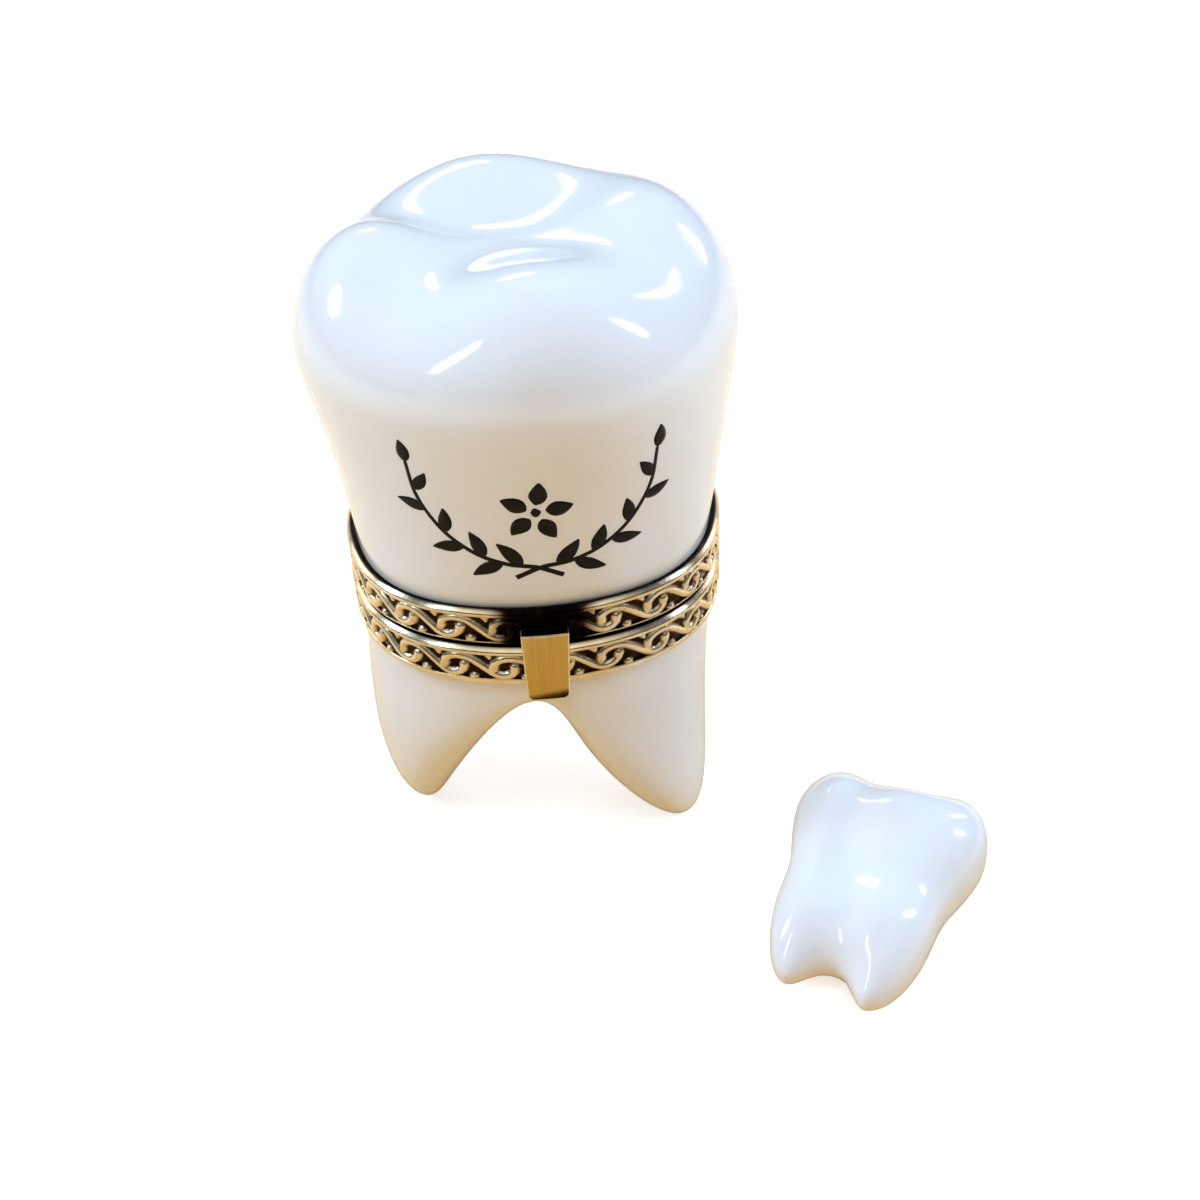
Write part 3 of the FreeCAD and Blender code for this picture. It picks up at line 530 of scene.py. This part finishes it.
def collar_section(side, height):
    """A collar's closed section, as insets and heights: up the outer face and down the inner one."""
    rim_foot = height - RIM_HEIGHT
    outer = [(BORDER_INSET, BORDER_HEIGHT), (FIELD_INSET, BORDER_HEIGHT), (FIELD_INSET, rim_foot),
             (0, rim_foot), (0, height - RIM_BEVEL), (RIM_BEVEL, height)]
    if side == "lid":
        ledge = rim_foot + BORDER_HEIGHT
        outer = [(LIP_INSET, 0), (BORDER_INSET, LIP_HEIGHT)] + outer
        inner = [(RIM_THICKNESS, height), (RIM_THICKNESS, ledge), (WALL_INSET, ledge),
                 (WALL_INSET, FLANGE_THICKNESS), (FLANGE_INSET, FLANGE_THICKNESS), (FLANGE_INSET, 0)]
    else:
        ledge = height - FLANGE_THICKNESS
        outer = [(BORDER_INSET, 0)] + outer
        inner = [(inset, height) for inset in SHADED_GAP_INSETS]
        inner += [(FLANGE_INSET, height), (FLANGE_INSET, ledge), (WALL_INSET, ledge), (WALL_INSET, 0)]
    return rounded(outer + inner)


def collar(side, low, high, material):
    section = collar_section(side, high.z - low.z)
    insets = section[:, 0]
    heights = low.z + section[:, 1]
    points, outward, _ = collar_outline(RING_STEPS)
    piece = new_piece(side + "_collar_band", band_points(points, outward, insets[None, :], heights),
                      torus_faces(RING_STEPS, len(section)), material, side)
    piece.data.set_sharp_from_angle(angle=SHARP_ANGLE)
    # Faces set back from the outline have patina in the field's recess, and painted shade in the gaps
    # where the collars meet each other and the porcelain. By the tongue the lid is also black with a
    # painted dark reflection.
    open_face = (insets < FIELD_INSET - EDGE_ROUND) | (insets > RIM_THICKNESS + WALL_INSET)
    set_crest(piece, clear_of_dark_reflection(side, points)[:, None] * np.where(open_face, 1.0, PATINA_AND_SHADE_CREST))
    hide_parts(side + "_collar")


# The scrolled strips.

def ridge(along, up, line, radius):
    """Relief of a round ridge along a line, from 0 to 1."""
    away = np.hypot(along[..., None] - line[:, 0], up[..., None] - line[:, 1])
    return np.clip(1 - ((away / radius).min(2)) ** 2, 0, 1) ** RIDGE_POWER


def scroll_relief(pitch, height, seed):
    """Relief, from 0 to 1, of a strip of running scrolls that differ a little, as [column][row]."""
    draw = np.random.default_rng(seed)
    columns = SCROLL_COUNT * SCROLL_COLUMNS
    size = (pitch, height)
    reach = np.arange(*SCROLL_SPAN)
    rows = np.linspace(0, height, SCROLL_ROWS)
    along, up = np.meshgrid(reach * pitch / SCROLL_COLUMNS, rows, indexing="ij")
    tabs = [smooth_line(shares, TAB_STEPS) * size for shares in (TAB_SHARES, KNOB_SHARES)]
    taper = TAB_RADIUS * np.linspace(*TAB_TAPER, TAB_STEPS + 1)
    knots = np.linspace(0, 1, SWAY_KNOTS)
    places = np.linspace(0, 1, len(SCROLL_SHARES))
    relief = np.zeros((columns, SCROLL_ROWS))
    for k in range(SCROLL_COUNT):
        sway = draw.normal(0, SCROLL_SWAY, (SWAY_KNOTS, 2))
        sway = np.c_[np.interp(places, knots, sway[:, 0]), np.interp(places, knots, sway[:, 1])]
        swell = 1 + draw.uniform(-STROKE_VARIATION, STROKE_VARIATION)
        scroll = smooth_line(SCROLL_SHARES + sway, SCROLL_STEPS) * size
        ends = np.linspace(0, 1, len(scroll))
        balls = np.exp(-BALL_FALL * ends) + np.exp(-BALL_FALL * (1 - ends))
        own = ridge(along, up, scroll, STROKE_RADIUS * (1 + BALL_SWELL * balls) * swell)
        for tab in tabs:
            own = np.maximum(own, TAB_RELIEF * ridge(along, up, tab, taper / swell))
        place = (reach + k * SCROLL_COLUMNS) % columns
        relief[place] = np.maximum(relief[place], own)
    return relief


def scroll_band(side, low, high, material):
    """The stamped strip in a collar's field, flat where the hinge leaf or the tongue is seated on it."""
    bottom, top = low.z + BORDER_HEIGHT, high.z - RIM_HEIGHT
    columns = SCROLL_COUNT * SCROLL_COLUMNS
    points, outward, length = collar_outline(columns)
    relief = scroll_relief(length / SCROLL_COUNT, top - bottom, SCROLL_SEEDS[side])
    insets = FIELD_INSET - RELIEF_BED - RELIEF_HEIGHT * relief
    seat_inset = half_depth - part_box(side + "_gallery")[1].y
    for node in SEATED_NODES[side]:
        node_low, node_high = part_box(node)
        seated = (np.abs(points[:, 0]) < node_high.x) & (points[:, 1] * node_low.y > 0)
        insets[seated] = np.maximum(insets[seated], seat_inset)
    insets = np.concatenate([insets, np.full((columns, 2), FIELD_INSET + RELIEF_BED)], 1)
    heights = np.r_[np.linspace(bottom, top, SCROLL_ROWS), top, bottom]
    piece = new_piece(side + "_scroll_band", band_points(points, outward, insets, heights),
                      torus_faces(columns, SCROLL_ROWS + 2), material, side)
    # Bright on the relief, patina in the bed, and black with a painted dark reflection by the tongue.
    crest = np.maximum(relief, PATINA_AND_SHADE_CREST) * clear_of_dark_reflection(side, points)[:, None]
    set_crest(piece, np.concatenate([crest, np.full((columns, 2), PATINA_AND_SHADE_CREST)], 1))
    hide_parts(side + "_gallery")


collar_brass = brass("collar_brass", COLLAR_ROUGHNESS)
scroll_brass = brass("scroll_brass", SCROLL_ROUGHNESS)
for side, low, high in (("lid", lid_low, lid_high), ("base", base_low, base_high)):
    collar(side, low, high, collar_brass)
    scroll_band(side, low, high, scroll_brass)


# The pieces that keep the model's own shape.

def paint_model():
    glaze = porcelain("porcelain_glaze")
    satin = brushed_brass("satin_brass", SATIN_TONES)
    finishes = {"crown_lid": porcelain("crown_glaze", lid_high.z - RIM_HEIGHT),
                "clasp_tongue": brushed_brass("tongue_brass", SATIN_TONES, True)}
    for node in ("root_base", "baby_tooth"):
        finishes[node] = glaze
    for node in ("lid_hinge_leaf", "base_hinge_leaf", "hinge_pin", "catch_bead"):
        finishes[node] = satin
    for node, material in finishes.items():
        mesh = frame["nodes"][node].data
        mesh.materials.clear()
        mesh.materials.append(material)


def list_brass_pieces():
    """The collection of brass pieces, which some lights are kept to."""
    brass_pieces = bpy.data.collections.new("brass_pieces")
    for piece in bpy.context.scene.objects:
        if piece.type == "MESH" and "brass" in piece.data.materials[0].name:
            brass_pieces.objects.link(piece)
    return brass_pieces


def bevel_tongue_with_highlight():
    """Bevels on the tongue's edges, painted bright as a painted highlight, after the model's triangles
    are joined into flats.
    """
    tongue = frame["nodes"]["clasp_tongue"]
    tongue.data.materials.append(brushed_brass("edge_highlight_brass", EDGE_HIGHLIGHT_TONES))
    joined_points = tongue.modifiers.new("joined_points", "WELD")
    joined_points.merge_threshold = TONGUE_JOIN_REACH
    joined_flats = tongue.modifiers.new("joined_flats", "DECIMATE")
    joined_flats.decimate_type = "DISSOLVE"
    joined_flats.angle_limit = TONGUE_FLAT_ANGLE
    highlighted_bevels = tongue.modifiers.new("highlighted_bevels", "BEVEL")
    highlighted_bevels.material = 1
    highlighted_bevels.width = TONGUE_BEVEL
    highlighted_bevels.segments = TONGUE_BEVEL_STEPS
    highlighted_bevels.use_clamp_overlap = False
    highlighted_bevels.limit_method = "ANGLE"
    highlighted_bevels.angle_limit = TONGUE_EDGE_ANGLE


paint_model()
brass_pieces = list_brass_pieces()
bevel_tongue_with_highlight()


# The painted sprig: brush strokes laid on the crown's front.

crown_mesh = frame["nodes"]["crown_lid"].data
crown_tree = BVHTree.FromPolygons([vertex.co.copy() for vertex in crown_mesh.vertices],
                                  [tuple(polygon.vertices) for polygon in crown_mesh.polygons])


def on_crown(across, up, lift):
    """The point of the crown's front at a place of the sprig, raised by a lift, all in millimetres."""
    start = Vector((across, -SPRIG_AHEAD, SPRIG_HEIGHT + up)) * MM
    place, normal, _, _ = crown_tree.ray_cast(start, Vector((0, 1, 0)))
    return place + normal * lift * MM


def brush_stroke(line, widths):
    """Points and faces of a closed stroke along (across, up) places, with half its width at each."""
    line = np.array(line)
    direction = np.gradient(line, axis=0)
    side = np.c_[-direction[:, 1], direction[:, 0]] / np.linalg.norm(direction, axis=1)[:, None]
    points = []
    for place, aside, width in zip(line, side, widths):
        for across, lift in PAINT_SHARES:
            points.append(on_crown(*(place + aside * across * width), lift * PAINT_HEIGHT))
    count = len(PAINT_SHARES)
    faces = []
    for i in range(len(line) - 1):
        for j in range(count):
            k = (j + 1) % count
            faces.append((i * count + j, (i + 1) * count + j, (i + 1) * count + k, i * count + k))
    faces.append(tuple(range(count)))
    faces.append(tuple(reversed(range(len(points) - count, len(points)))))
    return points, faces


def leaf(start, turn, length, width):
    """A teardrop stroke with a slight bend."""
    shares = np.linspace(0, 1, LEAF_STEPS + 1)
    bend = turn + LEAF_BEND * (shares - 0.5)
    steps = np.c_[np.cos(bend), np.sin(bend)] * length / LEAF_STEPS
    line = np.array(start) + np.cumsum(steps, axis=0) - steps[0]
    belly = np.sin(math.pi * shares ** LEAF_BELLY_POWER) ** LEAF_SIDE_POWER
    return brush_stroke(line, width * (LEAF_BLUNTNESS + belly))


def twig_strokes(mirror):
    """A twig and its leaves: the right-hand one, or its mirror image where mirror is -1."""
    stem = smooth_line(SPRIG_STEM, STEM_STEPS)
    direction = np.gradient(stem, axis=0)
    flip = np.array([mirror, 1])

    def leaf_at(place, lean, length, width):
        turn = math.atan2(direction[place, 1], direction[place, 0]) + lean
        return leaf(stem[place] * flip, turn if mirror > 0 else math.pi - turn, length, width)

    yield brush_stroke(stem * flip, np.linspace(STEM_WIDTH, STEM_END_WIDTH, len(stem)))
    for share, hand in SPRIG_LEAVES:
        length = LEAF_LENGTH * (LEAF_LENGTH_SHARES[0] - LEAF_LENGTH_SHARES[1] * share)
        width = LEAF_WIDTH * (LEAF_WIDTH_SHARES[0] - LEAF_WIDTH_SHARES[1] * share)
        yield leaf_at(int(share * (len(stem) - 1)), hand * LEAF_TURN, length, width)
    yield leaf_at(-1, 0, END_LEAF_LENGTH, END_LEAF_WIDTH)


def blossom_strokes():
    for petal in range(PETAL_COUNT):
        turn = math.pi / 2 + petal * math.tau / PETAL_COUNT
        start = (PETAL_START * math.cos(turn), BLOSSOM_HEIGHT + PETAL_START * math.sin(turn))
        yield leaf(start, turn - PETAL_LEAN, PETAL_REACH, PETAL_WIDTH)
    yield leaf((-BUD_LENGTH / 2, BLOSSOM_HEIGHT), PETAL_LEAN, BUD_LENGTH, BUD_WIDTH)


def painted_sprig():
    points, faces = [], []
    for stroke_points, stroke_faces in (*twig_strokes(1), *twig_strokes(-1), *blossom_strokes()):
        faces += [tuple(index + len(points) for index in face) for face in stroke_faces]
        points += stroke_points
    new_piece("painted_sprig", points, faces, black_paint(), "lid")


painted_sprig()


# Floor, light and camera.

def split_camera_rays(tree, path, thrown, seen, output):
    """Shows one shader to the camera's own rays, and the other to all other rays."""
    mix = add_node(tree, "ShaderNodeMixShader")
    tree.links.new(path.outputs["Is Camera Ray"], mix.inputs[0])
    tree.links.new(thrown.outputs[0], mix.inputs[1])
    tree.links.new(seen.outputs[0], mix.inputs[2])
    tree.links.new(mix.outputs[0], tree.nodes[output].inputs["Surface"])


def pale_floor():
    """White to the camera. What it throws back is warm close by and cool farther off, and it is
    reflected pale, but for a warm spot in front of the clasp."""
    bpy.ops.mesh.primitive_plane_add(size=FLOOR_SIZE)
    floor = bpy.context.object
    floor.name = "floor"
    material, tree, shader = new_material("pale_floor")
    place = add_node(tree, "ShaderNodeTexCoord").outputs["Object"]
    away = add_node(tree, "ShaderNodeVectorMath", operation="LENGTH")
    tree.links.new(place, away.inputs[0])
    from_spot = add_node(tree, "ShaderNodeVectorMath", operation="DISTANCE")
    from_spot.inputs[1].default_value = WARM_SPOT
    tree.links.new(place, from_spot.inputs[0])
    path = add_node(tree, "ShaderNodeLightPath")
    thrown = ramp(tree, away.outputs["Value"], TABLE_GLOWS)
    mirrored = ramp(tree, from_spot.outputs["Value"], MIRRORED_GLOWS)
    glow = mix_colour(tree, path.outputs["Is Glossy Ray"], thrown, mirrored)
    tree.links.new(glow, shader.inputs["Emission Color"])
    set_inputs(shader, TABLE_INPUTS)
    seen = add_node(tree, "ShaderNodeBsdfPrincipled")
    tree.links.new(ramp(tree, away.outputs["Value"], FLOOR_GLOWS), seen.inputs["Emission Color"])
    set_inputs(seen, FLOOR_INPUTS)
    split_camera_rays(tree, path, shader, seen, "Material Output")
    floor.data.materials.append(material)


def area_light(name, place, width, height, power, colour, seen_by):
    """An oval soft light aimed at the box. Some show in matt light alone, some in the brass alone."""
    data = bpy.data.lights.new(name, "AREA")
    data.energy = power
    data.color = colour
    data.shape = "ELLIPSE"
    data.size = width
    data.size_y = height
    light = bpy.data.objects.new(name, data)
    light.location = place
    light.rotation_euler = (Vector(MIDDLE) - Vector(place)).to_track_quat("-Z", "Y").to_euler()
    light.visible_camera = False
    light.visible_diffuse, light.visible_glossy = seen_by
    if seen_by == BRASS_GLOSS:
        light.light_linking.receiver_collection = brass_pieces
    bpy.context.scene.collection.objects.link(light)


def studio():
    """White to the camera, and a grey sky to the object, brightest above and a little behind it."""
    world = bpy.data.worlds.new("studio")
    bpy.context.scene.world = world
    world.use_nodes = True
    tree = world.node_tree
    sky = tree.nodes["Background"]
    place = add_node(tree, "ShaderNodeTexCoord")
    height = add_node(tree, "ShaderNodeVectorMath", operation="DOT_PRODUCT")
    height.inputs[1].default_value = SKY_AXIS
    tree.links.new(place.outputs["Generated"], height.inputs[0])
    tree.links.new(ramp(tree, height.outputs["Value"], SKY_STOPS), sky.inputs["Color"])
    set_inputs(sky, {"Strength": 1.0})
    backdrop = add_node(tree, "ShaderNodeBackground", Color=WHITE, Strength=1.0)
    split_camera_rays(tree, add_node(tree, "ShaderNodeLightPath"), sky, backdrop, "World Output")
    for light in LIGHTS:
        area_light(*light)


def photo_camera():
    data = bpy.data.cameras.new("photo_camera")
    data.sensor_width = SENSOR_WIDTH
    data.lens = SENSOR_WIDTH * FOCAL_PIXELS / IMAGE_SIDE
    data.clip_start = CLIP_START
    level = math.cos(CAMERA_ELEVATION)
    back = Vector((math.sin(CAMERA_TURN) * level, -math.cos(CAMERA_TURN) * level,
                   math.sin(CAMERA_ELEVATION)))
    right = Vector((math.cos(CAMERA_TURN), math.sin(CAMERA_TURN), 0))
    right = Matrix.Rotation(CAMERA_ROLL, 3, back) @ right
    up = back.cross(right)
    across = (AIM_PIXEL[0] - IMAGE_SIDE / 2) / FOCAL_PIXELS
    down = (AIM_PIXEL[1] - IMAGE_SIDE / 2) / FOCAL_PIXELS
    sight = (across * right - down * up - back).normalized()
    camera = bpy.data.objects.new("photo_camera", data)
    place = Vector((0, 0, AIM_HEIGHT)) - sight * CAMERA_DISTANCE
    camera.matrix_world = Matrix.Translation(place) @ Matrix((right, up, back)).transposed().to_4x4()
    bpy.context.scene.collection.objects.link(camera)
    bpy.context.scene.camera = camera


pale_floor()
studio()
photo_camera()
bpy.context.scene.view_settings.view_transform = "Standard"
